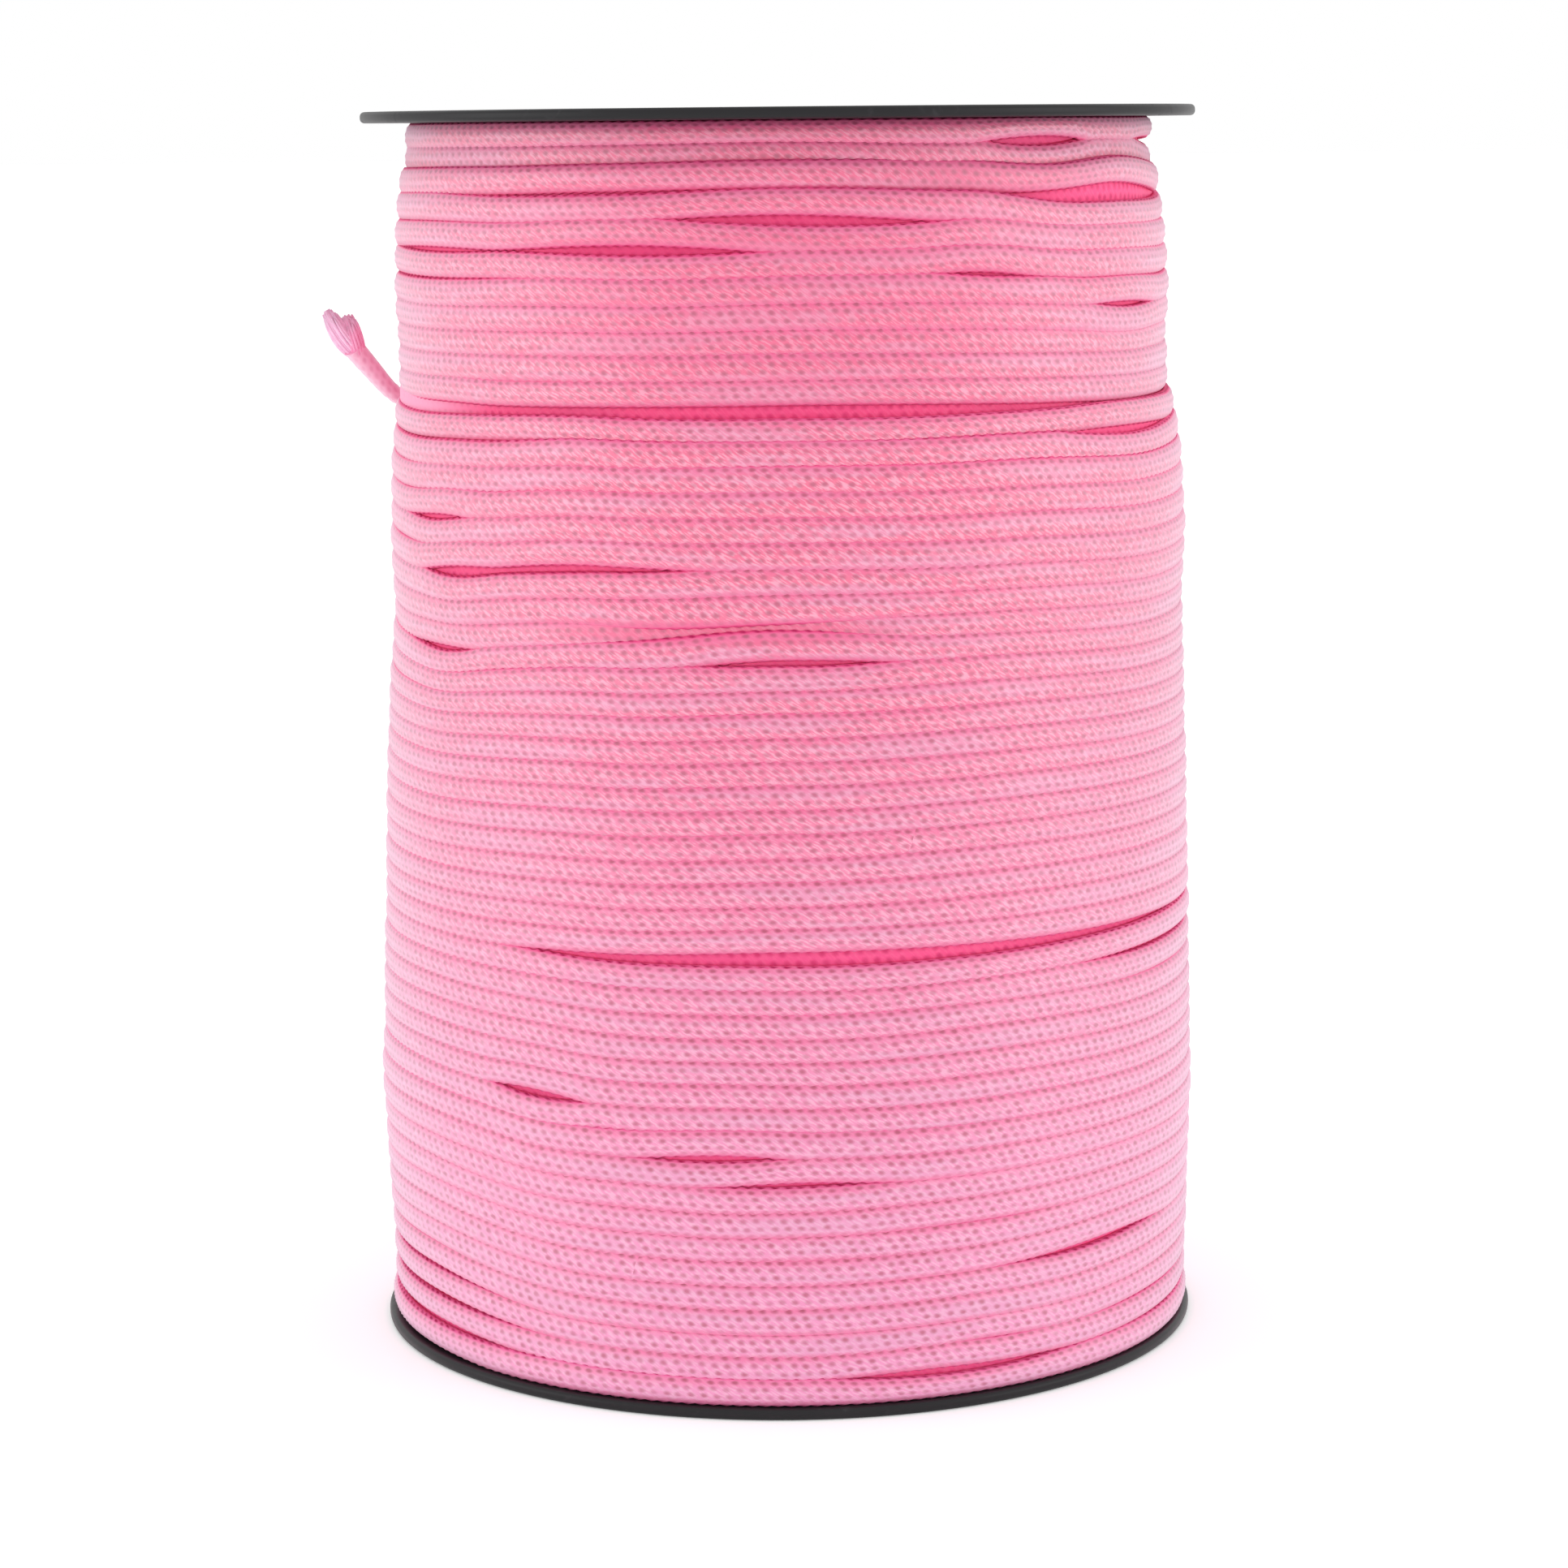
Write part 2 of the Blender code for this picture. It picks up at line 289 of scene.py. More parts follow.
    depth = (fibres - 0.5) * 0.5 - shadedHoles
    bump = start.node("Bump", sockets={"Height": depth, "Distance": values["bump"], "Strength": 0.7})
    roughness = fibres * 0.2 + 0.48
    shine = (1 - grooveShade * 0.4) * gloss
    wires = {"Base Color": painted, "Roughness": roughness, "Coat Weight": shine, "Normal": bump}
    connect(material, shader, wires)
    if grooveShadeShare > 0:
        plain = {"Base Color": painted, "Roughness": roughness, "Normal": bump, "Specular IOR Level": 0.2}
        pressed = start.node("BsdfPrincipled", sockets=plain)
        lowerStrip = 1 - across.step(*values["pressedBelow"])
        hidden = across.step(*values["pressedAbove"]).maths("MAXIMUM", lowerStrip)
        top = Wire(material.node_tree, shader.outputs[0])
        mixed = start.node("MixShader", sockets={0: hidden, 1: top, 2: pressed})
        connect(material, material.node_tree.nodes["Material Output"], {"Surface": mixed})
    return material


plasticColours = {"body": colour(33, 32, 34), "paling": colour(58, 57, 60)}


# Moulded plastic: a fine orange peel, faint flow streaks and scuffs
def plasticMaterial(name, colours):
    material, shader, start = newMaterial(name, {"Specular IOR Level": 0.22})
    place = start.node("TexCoord", output="Object")
    peel = start.node("TexNoise", sockets={"Vector": place, "Scale": 900.0, "Detail": 3.0})
    cloud = start.node("TexNoise", sockets={"Vector": place, "Scale": 45.0, "Detail": 4.0})
    scuffs = start.node("TexNoise",
                        sockets={"Vector": place, "Scale": 260.0, "Detail": 6.0, "Distortion": 1.5})
    paling = scuffs.step(0.56, 0.72) * cloud.step(0.42, 0.7)
    painted = start.mix(paling * 0.55 + (cloud - 0.5) * 0.3, colours["body"], colours["paling"])
    grain = peel + paling * 0.6
    bump = start.node("Bump", sockets={"Height": grain, "Distance": 0.03 * mm, "Strength": 0.6})
    roughness = cloud * 0.16 + paling * 0.2 + 0.3
    connect(material, shader, {"Base Color": painted, "Roughness": roughness, "Normal": bump})
    return material


cordLook = cordMaterial("braidedCord", cordColours, 0.65, 0.95, 1.0, 0)
# The layer below has the painted glow
deepLook = cordMaterial("braidedCordBelow", shadedBelowColours, 0.4, 0, 0, 0.12)
looseLook = cordMaterial("braidedLooseEnd", looseColours, 0, 0.9, 0.5, 0)
plasticLook = plasticMaterial("mouldedPlastic", plasticColours)
print("mixed the materials")


def smooth(share):
    share = np.clip(share, 0, 1)
    return share * share * (3 - 2 * share)


# A new mesh. The corners of its faces get places on the named maps.
def addMesh(name, vertices, faces, maps, material, flatFaces=0):
    mesh = bpy.data.meshes.new(name)
    mesh.from_pydata(vertices.tolist(), [], faces)
    for mapName, places in maps.items():
        layer = mesh.uv_layers.new(name=mapName, do_init=False)
        layer.uv.foreach_set("vector", places.astype(np.float32).ravel())
    smoothFaces = np.ones(len(faces), bool)
    smoothFaces[len(faces) - flatFaces:] = False
    mesh.polygons.foreach_set("use_smooth", smoothFaces)
    mesh.materials.append(material)
    mesh.update()
    piece = bpy.data.objects.new(name, mesh)
    bpy.context.scene.collection.objects.link(piece)
    return piece


# The places of a run's quads on the baking map: strips that fill the square, one under the other.
# The rows' shares of a strip are in rowPlaces, and the lowest 2% is left for the ends' caps.
def stripPlaces(stepCount, rowPlaces, stepLength, stripWidth):
    strips = max(1, round(math.sqrt(stepCount * stepLength / stripWidth)))
    inStrip = math.ceil(stepCount / strips)
    step, row = np.meshgrid(np.arange(stepCount), np.arange(len(rowPlaces) - 1), indexing="ij")
    strip = step // inStrip
    corners = []
    for ahead, up in ((0, 0), (1, 0), (1, 1), (0, 1)):
        x = 0.002 + 0.996 * (step - strip * inStrip + ahead) / inStrip
        y = 0.02 + 0.98 * (strip + rowPlaces[row + up]) / strips
        corners.append(np.stack([x, y], -1))
    return np.stack(corners, 2).reshape(-1, 2)


shownGirth = 7.4 * mm  # about how wide a turn's outer side is when it is laid out flat


# One mesh from several tubes, each given as rings of points and the holes and rows that they stand for.
# hiddenShare is the part of the rows that lies on the hidden side and needs little room when baked.
def addTubes(name, tubes, material, hiddenShare=0.5):
    vertices, faces, capFaces, braidPlaces, stepCount, stepLength = [], [], [], [], 0, []
    first = 0
    for rings, along, rows in tubes:
        count, around = rings.shape[:2]
        step, row = np.meshgrid(np.arange(count - 1), np.arange(around), indexing="ij")
        after = (row + 1) % around
        here, ahead = step * around, (step + 1) * around
        corners = [here + row, ahead + row, ahead + after, here + after]
        faces += (first + np.stack(corners, -1).reshape(-1, 4)).tolist()
        places = [
            np.stack([along[step + on], rows[row + up]], -1)
            for on, up in ((0, 0), (1, 0), (1, 1), (0, 1))
        ]
        braidPlaces.append(np.stack(places, 2).reshape(-1, 2))
        vertices.append(rings.reshape(-1, 3))
        first += count * around
        stepCount += count - 1
        stepLength.append(np.linalg.norm(np.diff(rings[:, 0], axis=0), axis=1).mean())
    for rings, along, rows in tubes:
        around = rings.shape[1]
        for ring, order in ((rings[0], 1), (rings[-1], -1)):
            capFaces.append((first + np.arange(around)[::order]).tolist())
            vertices.append(ring)
            first += around
    rows = tubes[0][2]
    around = len(rows) - 1
    outer = rows <= rows[-1] * (1 - hiddenShare)
    rowPlaces = np.where(outer, 0.86 * rows / (rows[-1] * (1 - hiddenShare)), 0)
    rowPlaces[~outer] = np.linspace(0.86, 0.96, (~outer).sum() + 1)[1:]
    strip = stripPlaces(stepCount, rowPlaces, np.mean(stepLength), shownGirth)
    turn = np.linspace(0, 2 * math.pi, around, endpoint=False)
    circle = np.stack([0.01 + 0.006 * np.cos(turn), 0.01 + 0.006 * np.sin(turn)], -1)
    maps = {
        "braid": np.concatenate(braidPlaces + [np.full((around, 2), 0.25)] * len(capFaces)),
        "OFBake": np.concatenate([strip] + [circle] * len(capFaces)),
    }
    return addMesh(name, np.concatenate(vertices), faces + capFaces, maps, material, len(capFaces))


braidValues = {
    "rows": 10,  # rows of holes round the cord
    "period": 2.4 * mm,  # from one hole to the next in a row
    "relief": 0.13 * mm,  # how far strands bulge between the holes
    "slant": 0.2,  # how far each row leads the one below it, in periods
    "lowestRow": 20,  # where the first row lies on the wound cord, in degrees up from its lower edge
    "outerRow": 160,  # where its sixth row lies, the last one of the outer side
}


# How far the braid stands out at a place given in holes and rows
def relief(along, rows, values):
    return -values["relief"] * np.cos(2 * math.pi * along) * np.cos(math.pi * rows)


looseEndValues = {
    "width": 3.3 * mm,
    "endWidth": 4.3 * mm,  # the cord is loosened by its cut end
    "cutLength": 60.8 * mm,
    "points": 40,
    "rootAzimuth": -170,  # where the cord dives under the turns
    "rootRadius": 73.6,
}

# The same points as the CAD route, in mm, from the bed in the winding to the cut end
looseEndRoute = [
    (-52.1, 57.9, 185.1),
    (-57.0, 53.2, 185.1),
    (-62.8, 46.1, 184.8),
    (-67.7, 39.3, 184.3),
    (-72.4, 32.9, 183.9),
    (-76.4, 27.4, 184.6),
    (-80.1, 22.2, 187.5),
    (-83.6, 17.6, 192.3),
    (-86.9, 13.4, 197.0),
]


# Evenly spaced points on a smooth curve through the given ones
def smoothRoute(points, count):
    points = np.array(points, float)
    ends = np.vstack([2 * points[0] - points[1], points, 2 * points[-1] - points[-2]])
    fine = []
    for before, start, stop, after in zip(ends, ends[1:], ends[2:], ends[3:]):
        t = np.linspace(0, 1, 24, endpoint=False)[:, None]
        squared = 2 * before - 5 * start + 4 * stop - after
        cubed = 3 * start - before - 3 * stop + after
        fine.append(0.5 * (2 * start + (stop - before) * t + squared * t ** 2 + cubed * t ** 3))
    fine = np.vstack(fine + [points[-1:]])
    lengths = np.concatenate([[0], np.cumsum(np.linalg.norm(np.diff(fine, axis=0), axis=1))])
    wanted = np.linspace(0, lengths[-1], count)
    return np.stack([np.interp(wanted, lengths, fine[:, axis]) for axis in range(3)], -1)


# Rings of points about a line, without twist. The radius may differ from ring to ring.
def ringsAbout(line, radii, around, bulge=None):
    ahead = np.gradient(line, axis=0)
    ahead /= np.linalg.norm(ahead, axis=1)[:, None]
    side = np.cross(ahead[0], (0, 0, 1))
    rings = []
    for index, (place, way) in enumerate(zip(line, ahead)):
        side = side - way * (side @ way)
        side /= np.linalg.norm(side)
        other = np.cross(side, way)
        turn = np.linspace(0, 2 * math.pi, around, endpoint=False)[:, None]
        outward = np.cos(turn) * side + np.sin(turn) * other
        reach = radii[index] if bulge is None else radii[index] + bulge[index][:, None]
        rings.append(place + outward * reach)
    return np.array(rings)


# A round length of braid along a line of points
def braidTube(line, radii, values, firstHole=0):
    lengths = np.concatenate([[0], np.cumsum(np.linalg.norm(np.diff(line, axis=0), axis=1))])
    steps = math.ceil(lengths[-1] / values["period"] * 4)
    wanted = np.linspace(0, lengths[-1], steps + 1)
    fineLine = np.stack([np.interp(wanted, lengths, line[:, axis]) for axis in range(3)], -1)
    along = firstHole + wanted / values["period"]
    around = 2 * values["rows"]
    rows = np.arange(around + 1) / 2
    bulge = relief(along[:, None], rows[None, :-1], values)
    return ringsAbout(fineLine, np.interp(wanted, lengths, radii), around, bulge), along, rows


def addLooseEnd(values, route, braid):
    line = smoothRoute(route, values["points"]) * mm
    widening = smooth(np.linspace(-2.2, 1, len(line)))
    radii = values["width"] / 2 + (values["endWidth"] - values["width"]) / 2 * widening
    piece = addTubes("looseEnd", [braidTube(line, radii, braid)], looseLook, 0)
    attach(piece, "root")
    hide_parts("loose_end")
    return piece, line


# The stretch before the loose end: it rises from under the turns to the free end's first point
def addRoot(values, line, braid):
    x, y, height = line[0] / mm
    endAzimuth = math.degrees(math.atan2(x, -y))
    azimuth = np.radians(np.linspace(values["rootAzimuth"], endAzimuth, 24))
    share = smooth(np.linspace(0, 1, 24))
    radius = (values["rootRadius"] + (math.hypot(x, y) - values["rootRadius"]) * share) * mm
    points = np.stack([radius * np.sin(azimuth), -radius * np.cos(azimuth), np.full(24, height * mm)], -1)
    radii = np.full(24, values["width"] / 2)
    length = np.linalg.norm(np.diff(points, axis=0), axis=1).sum()
    tube = braidTube(points, radii, braid, -length / braid["period"])
    piece = addTubes("looseEndRoot", [tube], looseLook, 0)
    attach(piece, "root")


frayValues = {
    "thickness": 0.7 * mm,
    "overlap": 1.5 * mm,  # how far inside the cord the fibres begin
    "bendAt": 2.6 * mm,  # how far from there the fibres bend
    "jitter": 0.12 * mm,
    # For each lobe: where it ends and how its middle bends, in mm, its fibres, core's width and spread
    "lobes": [
        ((-5.4, -0.6, 7.7), (-1.6, 0, 0.6), 60, 2.2 * mm, 0.75),
        ((-1.3, 0.6, 6.2), (0.7, 0, 0.6), 80, 2.8 * mm, 1.05),
    ],
    "seed": 11,
}


def frayMaterial():
    material, shader, start = newMaterial("frayedFibres", {"Sheen Weight": 0.5, "Sheen Roughness": 0.5})
    place = start.node("UVMap", {"uv_map": "braid"})
    split = place.node("SeparateXYZ", sockets={0: place})
    noise = start.node("TexNoise", {"noise_dimensions": "2D"},
                       {"Vector": place, "Scale": 9.0, "Detail": 3.0})
    reach = split.output("X")  # 0 to 1 along the fibres of the first lobe, and 2 to 3 along the second's
    lilac = start.mix(noise.step(0.35, 0.65), colour(240, 178, 214), colour(246, 206, 230))
    pink = start.mix(noise.step(0.35, 0.65), colour(238, 132, 180), colour(246, 178, 208))
    body = start.mix(reach.step(1.4, 1.6), lilac, pink)
    # Painted light: the fibres' tips are tinted greyish, standing in for the cut ends catching the light
    tip = reach.step(0.7, 1.0) * (1 - reach.step(1.0, 1.2)) + reach.step(2.7, 3.0)
    tipsLit = start.mix(tip * 0.6, body, colour(206, 160, 186))
    bump = start.node("Bump", sockets={"Height": noise, "Distance": 0.05 * mm, "Strength": 0.5})
    connect(material, shader, {"Base Color": tipsLit, "Roughness": noise * 0.2 + 0.5, "Normal": bump})
    return material


# The cut end's loosened fibres, which spread into two blunt lobes about their cores
def addFray(values, line, cordWidth):
    chance = np.random.default_rng(values["seed"])
    ahead = (line[-1] - line[-2]) / np.linalg.norm(line[-1] - line[-2])
    share = np.linspace(0, 1, 9)
    tubes = []
    for number, (lobe, bend, count, coreWidth, spread) in enumerate(values["lobes"]):
        lobe, bend = np.array(lobe) * mm, np.array(bend) * mm
        for index in range(count + 1):
            sideways = chance.normal(size=3)
            sideways -= ahead * (sideways @ ahead)
            sideways /= np.linalg.norm(sideways)
            inner = 0 if index == 0 else math.sqrt(chance.uniform(0.15, 1))
            offset = sideways * inner * (cordWidth - values["thickness"]) / 2
            length = chance.uniform(0.95, 1) * math.sqrt(1 - 0.4 * inner ** 2)
            start = line[-1] - ahead * values["overlap"] + offset
            middle = start + ahead * values["bendAt"] + offset * 0.3 + bend
            end = line[-1] + lobe * length + offset * spread + chance.normal(size=3) * values["jitter"]
            t = share[:, None]
            path = (1 - t) ** 2 * start + 2 * t * (1 - t) * middle + t ** 2 * end
            width = values["thickness"] if index else coreWidth
            radii = width / 2 * np.sqrt(1 - 0.75 * share ** 8)
            tubes.append((ringsAbout(path, radii, 8), share + 2 * number, np.arange(9) / 2))
    piece = addTubes("looseEndFray", tubes, frayMaterial(), 0)
    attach(piece, "root")
    return piece


looseEnd, looseLine = addLooseEnd(looseEndValues, looseEndRoute, braidValues)
addRoot(looseEndValues, looseLine, braidValues)
fray = addFray(frayValues, looseLine, looseEndValues["endWidth"])
print("laid the loose end")

windingValues = {
    "turns": 51,
    "foot": 2.5 * mm,
    "top": 241.5 * mm,
    "lowest": 2.2 * mm,  # the flanges' inner faces
    "highest": 241.8 * mm,
    "cordWidth": 4.8 * mm,  # the cord lies a little flattened
    "cordThickness": 3.2 * mm,
    "squeeze": 0.85 * mm,  # how far a turn presses past the middle between it and the next
    "innerSqueeze": 2.0 * mm,  # the same for the layer below, which leaves no gap behind the outer turns
    "springBack": 0.2 * mm,  # over how wide a gap a pressed edge regains its round shape
    "holesInTurn": 206,
    "climbFrom": 85,  # azimuths between which a turn climbs to the next
    "climbTo": 200,
    "pushedTurns": 3.0,  # over how many turns a parting's push dies away
    "heldTurns": 0.55,  # how far from a flange its hold on the turns reaches
    "unevenHeight": 0.1 * mm,
    "unevenRadius": 0.14 * mm,
    "pieces": 9,
    "innerPieces": 3,
    "leastDrop": 1.2 * mm,  # from the outer turns' crest to that of the turns below
    "mostDrop": 2.4 * mm,
    "freeShare": 0.4,  # a turn held to less than this share of its width slips back between the others
    "slipBack": 2.4 * mm,
    "leastThickness": 0.4,  # of such a turn, as a share of the cord's
    "sunkSpread": 0.8,  # how far a turn spreads over a sunk neighbour, as a share of the depth
    "outerFrom": -0.26,  # the places where the two layers start, and how near the last turn's end they stop
    "innerFrom": 1,
    "endMargin": 0.05,
}

# The outline: height, radius of the crests, and drift of the middle towards +X, in mm
girths = [
    (2.5, 82.0, 0.1), (10, 81.2, 0.4), (30, 82.0, 0.2), (50, 82.8, 0.0), (60, 82.3, 0.2),
    (84, 81.7, 0.4), (110, 81.0, 0.5), (133, 80.1, 0.7), (150, 79.2, 1.3), (164, 79.7, 1.3),
    (176, 79.2, 1.2), (186, 78.1, 0.9), (191, 76.7, 0.6), (203, 76.5, 0.5), (211, 77.0, 0.5),
    (222, 76.3, 0.2), (229, 75.6, 0.2), (233, 74.0, 0.0), (236, 73.4, 0.0), (241.5, 74.2, 0.3),
]

# How far the turns lie above an even spacing, in mm: turn, then the lift at each of layAzimuths. It fades
# to nothing by layFadeEnd.
layAzimuths = (-62, -25, 0, 25, 62)
layFadeEnd = 130
lays = [
    (0, 0, 0, 0, 0, 0), (1.5, 1.5, 0, 0, 0.2, 0.8), (4, 3.5, 0.1, 0, 0, 1.6),
    (8, 2.8, 0.2, 0.8, 0.9, 1.1), (12, 2.4, 0.8, 1.1, 1.0, 0.3), (16, 1.2, 0.1, 0.5, 1.2, -0.4),
    (18, 0.8, 0.6, 1.2, 1.1, 1.2), (21, -0.8, 0.2, 1.1, 1.5, 1.2), (25, -1.9, -0.3, 0.9, 1.0, 0.2),
    (28, -3.5, -1.2, 0.4, 0.1, -1.0), (30, -5.6, -1.5, 0.2, 0.1, -1.9),
    (32, -5.2, -2.2, -1.5, -1.2, -2.6), (34, -4.9, -1.7, -1.3, -1.7, -3.0),
    (39.4, -3.4, -1.7, -1.0, -1.4, -2.4), (40.6, -0.7, -0.6, -0.7, -0.9, -1.5),
    (44, -1.1, -0.2, 0.3, -0.2, -2.0), (48, 0.8, 0.9, 1.2, 0.7, 0.2), (51, 0, 0, 0, 0, 0),
]

# Where neighbouring turns part: joint counted from below, azimuth of its middle, reach to each side in
# degrees, and width in mm
partings = [
    (1, 23, 25, 1.2), (2, 28, 15, 0.5), (5, 50, 25, 0.9), (9, 0, 23, 0.9), (10, -9, 14, 1.0),
    (12, -36, 12, 1.3), (18, 10, 66, 2.4), (30, 1, 27, 1.6), (31, -58, 14, 0.8), (34, -54, 12, 1.3),
    (34, -32, 32, 1.15), (36, -59, 14, 0.8), (39, 58, 24, 1.2), (40, 4, 52, 1.9), (44, 60, 16, 0.9),
    (45, 30, 13, 0.6), (46, -20, 28, 1.4), (46, -60, 25, 0.5), (47, 2, 26, 1.5), (48, 60, 34, 2.8),
    (48, 0, 75, 0.8), (50, 42, 18, 2.0), (50, 84, 26, 1.8), (7, 152, 30, 1.1), (14, -128, 34, 1.4),
    (23, 168, 40, 1.6), (33, 122, 28, 1.2), (39, -132, 38, 3.4), (43, 160, 36, 1.5), (49, -140, 30, 1.2),
]

# Turns that have sunk between their neighbours: turn, azimuth, reach and depth in mm
sunkTurns = [(31, -8, 30, 1.2), (48, 22, 24, 0.8), (26, 140, 34, 0.9)]

# Where the layer below comes up to the surface in a joint: joint, azimuth, reach and rise in mm
risenJoints = [(40, -90, 48, 2.1)]

pitch = (windingValues["top"] - windingValues["foot"]) / windingValues["turns"]


# Seeded chance that wanders smoothly between -1 and 1 along the cord, with its knots a spacing apart
def wobble(place, seed, spacing):
    knots = np.random.default_rng(seed).uniform(-1, 1, 4000)
    index = np.floor(place / spacing).astype(int) + 100
    share = smooth(place / spacing + 100 - index)
    return knots[index] * (1 - share) + knots[index + 1] * share


# The whole turns below a place, and its azimuth
def turnAndAzimuth(place):
    turn = np.floor(place)
    return turn, (place - turn) * 360 - 180


# A place's rank in the stack of turns. Each turn keeps level in front and climbs to the next behind.
def rankOf(place, values):
    turn, azimuth = turnAndAzimuth(place)
    width = values["climbTo"] - values["climbFrom"]
    ahead = smooth((azimuth - values["climbFrom"]) / width)
    behind = smooth((azimuth + 360 - values["climbFrom"]) / width)
    return turn + ahead + behind - 0.5


def bumpOver(azimuth, middle, reach):
    return smooth(1 - np.abs(azimuth - middle) / reach)


# The same spot lies on a turn at an azimuth, and a whole turn before or after it on its neighbours
def threeViews(place):
    turn, azimuth = turnAndAzimuth(place)
    return [(turn - whole, azimuth + 360 * whole) for whole in (-1, 0, 1)]


def partingPush(place, values):
    push = np.zeros_like(place)
    for turn, azimuth in threeViews(place):
        for joint, middle, reach, width in partings:
            away = turn + 0.5 - joint
            opening = width * mm * bumpOver(azimuth, middle, reach)
            push += np.sign(away) * opening / 2 * np.exp((0.5 - np.abs(away)) / values["pushedTurns"])
    rank = rankOf(place, values)
    held = np.minimum(rank, values["turns"] - rank) / values["heldTurns"]
    return push * np.clip(held, 0, 1)


def sunkDepth(place):
    depth = np.zeros_like(place)
    for turn, azimuth in threeViews(place):
        for sunkTurn, middle, reach, deep in sunkTurns:
            depth += (turn == sunkTurn) * deep * mm * bumpOver(azimuth, middle, reach)
    return depth


def layLift(place, values):
    rank = rankOf(place, values)
    azimuth = turnAndAzimuth(place)[1]
    table = np.array(lays)
    columns = [np.interp(rank, table[:, 0], table[:, column]) for column in range(1, 6)]
    marks = [-layFadeEnd, *layAzimuths, layFadeEnd]
    heights = [0 * rank, *columns, 0 * rank]
    lift = heights[0]
    for left, right, start, stop in zip(marks, marks[1:], heights, heights[1:]):
        lift = lift + (stop - start) * smooth((azimuth - left) / (right - left))
    return lift * mm


def middleHeight(place, values):
    rank = rankOf(place, values)
    inside = np.clip(np.minimum(rank, values["turns"] - rank) - 0.5, 0, 1)
    uneven = values["unevenHeight"] * wobble(place, 3, 0.11) * inside
    return values["foot"] + rank * pitch + layLift(place, values) + partingPush(place, values) + uneven


def crestRadius(rank, values):
    table = np.array(girths) * mm
    heights = values["foot"] + rank * pitch
    return np.interp(heights, table[:, 0], table[:, 1]), np.interp(heights, table[:, 0], table[:, 2])


# Rings of points round the flattened cord. The ring's rows 0 to 5 run over the outer side, from the lower
# edge up, and the few rows left close it on its hidden side.
ringRows = np.array([0, 0.5, 1, 1.5, 2, 2.5, 3, 3.5, 4, 4.5, 5, 5.7, 7.5, 9.3, 10])
coarseRows = np.array([0, 1, 2, 3, 4, 5, 6, 7.5, 9, 10])


# The rings at given steps, of which there are two for each hole along the cord
def flatRings(steps, height, half, crest, thick, drift, rows, values, braid):
    along = steps / 2
    rows = rows[:-1]
    turns = (braid["lowestRow"], braid["outerRow"], braid["lowestRow"] + 360)
    turn = np.radians(np.interp(rows, (0, 5, 10), turns))
    bulge = relief(along[:, None], rows[None, :], braid) * (rows <= 5)
    z = height[:, None] - np.cos(turn) * (half[:, None] + bulge)
    radius = (crest - thick)[:, None] + np.sin(turn) * (thick[:, None] + bulge)
    shadedHoles = along[:, None] + braid["slant"] * (rows - 2.5) * (rows <= 5)
    angle = 2 * math.pi * shadedHoles / values["holesInTurn"] - math.pi
    return np.stack([radius * np.sin(angle) + drift[:, None], -radius * np.cos(angle), z], -1)


# How far a turn reaches to one side: pressed into its neighbour, or its own width where they part
def sideWidth(share, step, values):
    own = values["cordWidth"] / 2
    pressed = values["squeeze"] * np.exp(-np.maximum(share - own, 0) / values["springBack"])
    return np.minimum(share, own) + pressed + values["sunkSpread"] * step


def outerTube(first, last, values, braid):
    steps = np.arange(first, last + 1)
    place = steps / 2 / values["holesInTurn"]
    height, above, below = (middleHeight(place + whole, values) for whole in (0, 1, -1))
    depth, depthAbove, depthBelow = (sunkDepth(place + whole) for whole in (0, 1, -1))
    upper = sideWidth((above - height) / 2, np.abs(depthAbove - depth), values)
    lower = sideWidth((height - below) / 2, np.abs(depthBelow - depth), values)
    upperEdge = np.minimum(height + upper, values["highest"])
    lowerEdge = np.maximum(height - lower, values["lowest"])
    half = np.maximum((upperEdge - lowerEdge) / 2, 0.1 * mm)
    free = np.clip(half / (values["freeShare"] * values["cordWidth"]), 0, 1)
    radius, drift = crestRadius(rankOf(place, values), values)
    uneven = values["unevenRadius"] * wobble(place, 5, 0.083)
    crest = radius - depth - (1 - free) * values["slipBack"] + uneven
    least = values["leastThickness"]
    thick = values["cordThickness"] / 2 * (least + (1 - least) * free)
    height = (upperEdge + lowerEdge) / 2
    rings = flatRings(steps, height, half, crest, thick, drift, ringRows, values, braid)
    return rings, (steps - first) / 2, ringRows


# The layer below, which lies in the joints of the outer one and is seen where turns part. It is
# pressed further out where they part less.
def innerTube(first, last, values, braid):
    steps = np.arange(first, last + 1, 4)
    place = steps / 2 / values["holesInTurn"]
    above, below = middleHeight(place, values), middleHeight(place - 1, values)
    height = (above + below) / 2
    gap = np.maximum(above - below - values["cordWidth"], 0)
    drop = np.minimum(values["leastDrop"] + gap, values["mostDrop"])
    drop += np.maximum(sunkDepth(place), sunkDepth(place - 1))
    radius, drift = crestRadius(rankOf(place, values) - 0.5, values)
    widest = values["cordWidth"] / 2 + values["innerSqueeze"]
    upperEdge = np.minimum(height + widest, values["highest"])
    lowerEdge = np.maximum(height - widest, values["lowest"])
    height, half = (upperEdge + lowerEdge) / 2, (upperEdge - lowerEdge) / 2
    thick = np.full_like(place, values["cordThickness"] / 2)
    crest = radius - drop
    for turn, azimuth in threeViews(place):
        for joint, middle, reach, rise in risenJoints:
            crest += (turn == joint) * rise * mm * bumpOver(azimuth, middle, reach)
    plain = {**braid, "relief": 0}
    rings = flatRings(steps, height, half, crest, thick, drift, coarseRows, values, plain)
    return rings, (steps - first) / 2, coarseRows


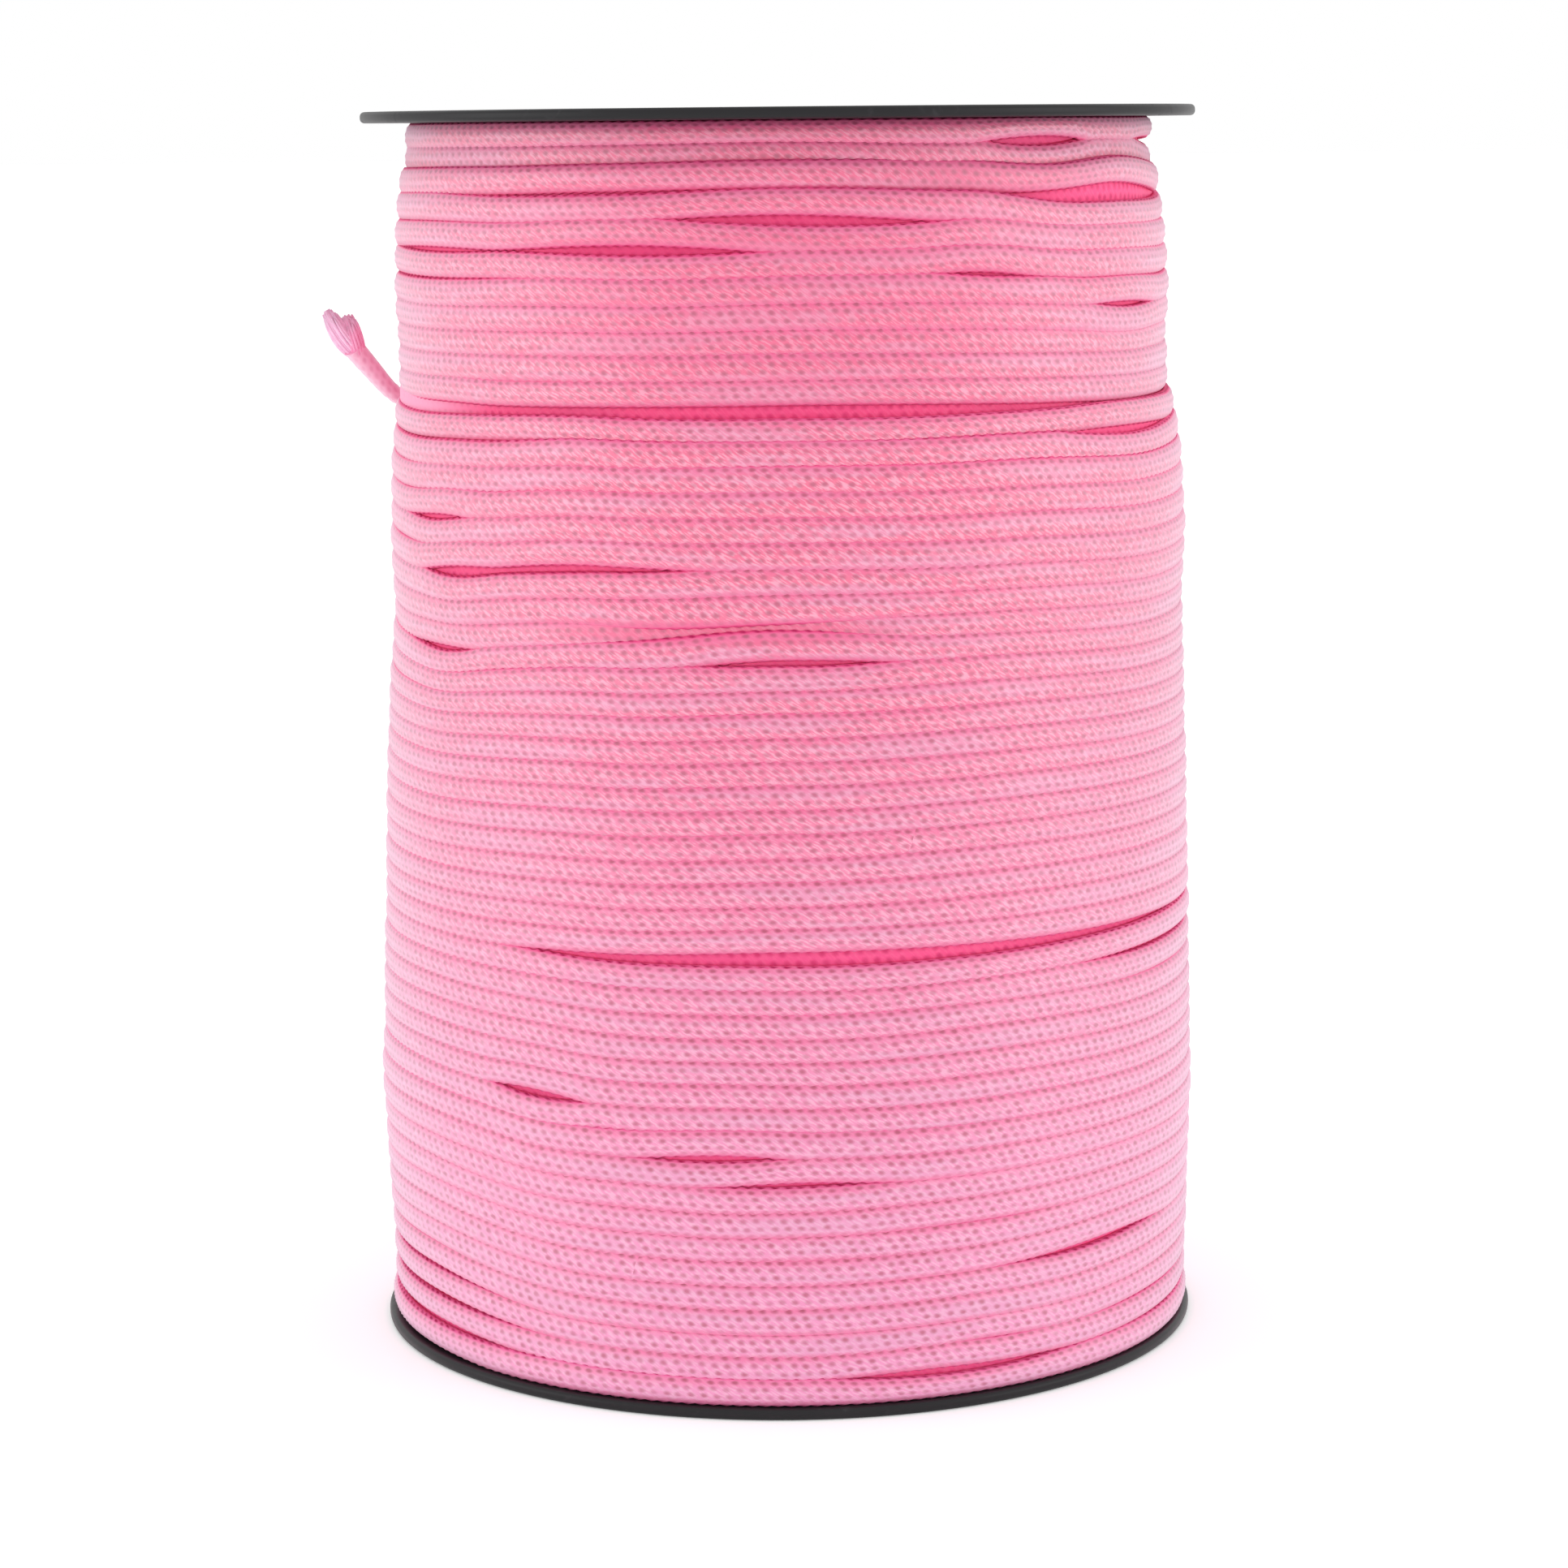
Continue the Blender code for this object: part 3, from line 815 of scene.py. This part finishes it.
def addWinding(values, braid):
    stepsInTurn = 2 * values["holesInTurn"]
    first = round(values["outerFrom"] * stepsInTurn)
    last = round((values["turns"] + values["endMargin"]) * stepsInTurn)
    bounds = np.linspace(first, last, values["pieces"] + 1).round().astype(int)
    for number, (start, stop) in enumerate(zip(bounds, bounds[1:]), 1):
        piece = addTubes(f"woundCord{number}", [outerTube(start, stop, values, braid)], cordLook)
        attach(piece, "root")
        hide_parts("wound_cord")
    first = round(values["innerFrom"] * stepsInTurn)
    last = round((values["turns"] - values["endMargin"]) * stepsInTurn)
    bounds = np.linspace(first, last, values["innerPieces"] + 1).round().astype(int)
    bounds -= (bounds - bounds[0]) % 4
    for number, (start, stop) in enumerate(zip(bounds, bounds[1:]), 1):
        inner = addTubes(f"cordBelow{number}", [innerTube(start, stop, values, braid)], deepLook)
        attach(inner, "root")


addWinding(windingValues, braidValues)
print("wound the cord")


# A profile of (radius, height) points turned about the Z axis
def addTurned(name, profile, sides, material):
    profile = np.array(profile)
    angle = np.linspace(0, 2 * math.pi, sides, endpoint=False)
    inner = profile[1:-1]
    rings = np.stack([
        np.outer(np.sin(angle), inner[:, 0]),
        -np.outer(np.cos(angle), inner[:, 0]),
        np.outer(np.ones(sides), inner[:, 1]),
    ], -1)
    middles = [(0, 0, profile[0, 1]), (0, 0, profile[-1, 1])]
    vertices = np.concatenate([rings.reshape(-1, 3), middles])
    count = len(inner)
    side, step = np.meshgrid(np.arange(sides), np.arange(count - 1), indexing="ij")
    after = (side + 1) % sides
    quads = [side * count + step, side * count + step + 1, after * count + step + 1, after * count + step]
    faces = np.stack(quads, -1).reshape(-1, 4).tolist()
    for number in range(sides):
        following = (number + 1) % sides
        faces.append((sides * count, number * count, following * count))
        faces.append((sides * count + 1, (following + 1) * count - 1, (number + 1) * count - 1))
    return addMesh(name, vertices, faces, {}, material)


flangeValues = {
    "radius": 82.5 * mm,
    "thickness": 2.2 * mm,
    "rollHeight": 244 * mm,
    "rounding": 0.9 * mm,
    "rimWidth": 7 * mm,
    "hubRadius": 21 * mm,
    "recess": 0.7 * mm,
    "slope": 1.5 * mm,
    "innerRings": (20, 45, 65, 76),  # radii in mm of the plain rings on the inner face
    "webRings": (62, 45, 30),  # the same for the web on the outer face
    "hubRing": 10 * mm,
    "slopeRings": 5,
    "roundingSteps": 6,
    "sides": 192,
}


# The CAD flange's section with finer roundings, from the middle of its inner face to that of its outer one
def flangeProfile(values):
    rounding = values["rounding"]
    middle = values["radius"] - rounding
    profile = [(0, values["thickness"])]
    profile += [(radius * mm, values["thickness"]) for radius in values["innerRings"]]
    for height, start in ((values["thickness"] - rounding, 90), (rounding, 0)):
        for step in range(values["roundingSteps"] + 1):
            turn = math.radians(start - 90 * step / values["roundingSteps"])
            profile.append((middle + rounding * math.cos(turn), height + rounding * math.sin(turn)))
    rim = values["radius"] - values["rimWidth"]
    webOuter, webInner = rim - values["slope"], values["hubRadius"] + values["slope"]
    for share in np.linspace(0, 1, values["slopeRings"]):
        profile.append((rim + (webOuter - rim) * share, values["recess"] * float(smooth(share))))
    profile += [(radius * mm, values["recess"]) for radius in values["webRings"]]
    for share in np.linspace(0, 1, values["slopeRings"]):
        profile.append((webInner + (values["hubRadius"] - webInner) * share,
                        values["recess"] * float(smooth(1 - share))))
    profile += [(values["hubRing"], 0), (0, 0)]
    return profile


def addFlanges(values):
    lower = flangeProfile(values)
    upper = [(radius, values["rollHeight"] - height) for radius, height in reversed(lower)]
    flanges = (("lowerFlange", "flange_bottom", lower), ("upperFlange", "flange_top", upper))
    for name, node, profile in flanges:
        piece = addTurned(name, profile, values["sides"], plasticLook)
        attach(piece, "root")
        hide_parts(node)


addFlanges(flangeValues)
print("turned the flanges")

studioValues = {
    "floorSize": 60,
    "floorTone": 0.93,
    "floorGlow": 0.2,
    "surround": 1.0,
    "aim": (0, 0, 0.12),  # where both lights point
    "lights": [  # name, place, size, power
        ("leftLight", (-1.5, -0.4, 0.3), 1.2, 6),
        ("rightLight", (1.5, -0.4, 0.3), 1.2, 5.5),
    ],
}


def addStudio(values):
    scene = bpy.context.scene
    scene.view_settings.view_transform = "Standard"
    world = bpy.data.worlds.new("studio")
    scene.world = world
    world.use_nodes = True
    background = world.node_tree.nodes["Background"]
    background.inputs["Color"].default_value = (1, 1, 1, 1)
    background.inputs["Strength"].default_value = values["surround"]
    half = values["floorSize"] / 2
    corners = np.array([(-half, -half, 0), (half, -half, 0), (half, half, 0), (-half, half, 0)])
    material, shader = newMaterial("studioFloor", {"Roughness": 0.9, "Specular IOR Level": 0.1})[:2]
    shader.inputs["Base Color"].default_value = (*[values["floorTone"]] * 3, 1)
    shader.inputs["Emission Color"].default_value = (1, 1, 1, 1)
    shader.inputs["Emission Strength"].default_value = values["floorGlow"]
    floor = addMesh("floor", corners, [(0, 1, 2, 3)], {}, material)
    for name, place, size, power in values["lights"]:
        data = bpy.data.lights.new(name, "AREA")
        data.size = size
        data.energy = power
        light = bpy.data.objects.new(name, data)
        scene.collection.objects.link(light)
        light.location = place
        way = Vector(values["aim"]) - Vector(place)
        light.rotation_euler = way.to_track_quat("-Z", "Y").to_euler()


addStudio(studioValues)
print("lit the studio")
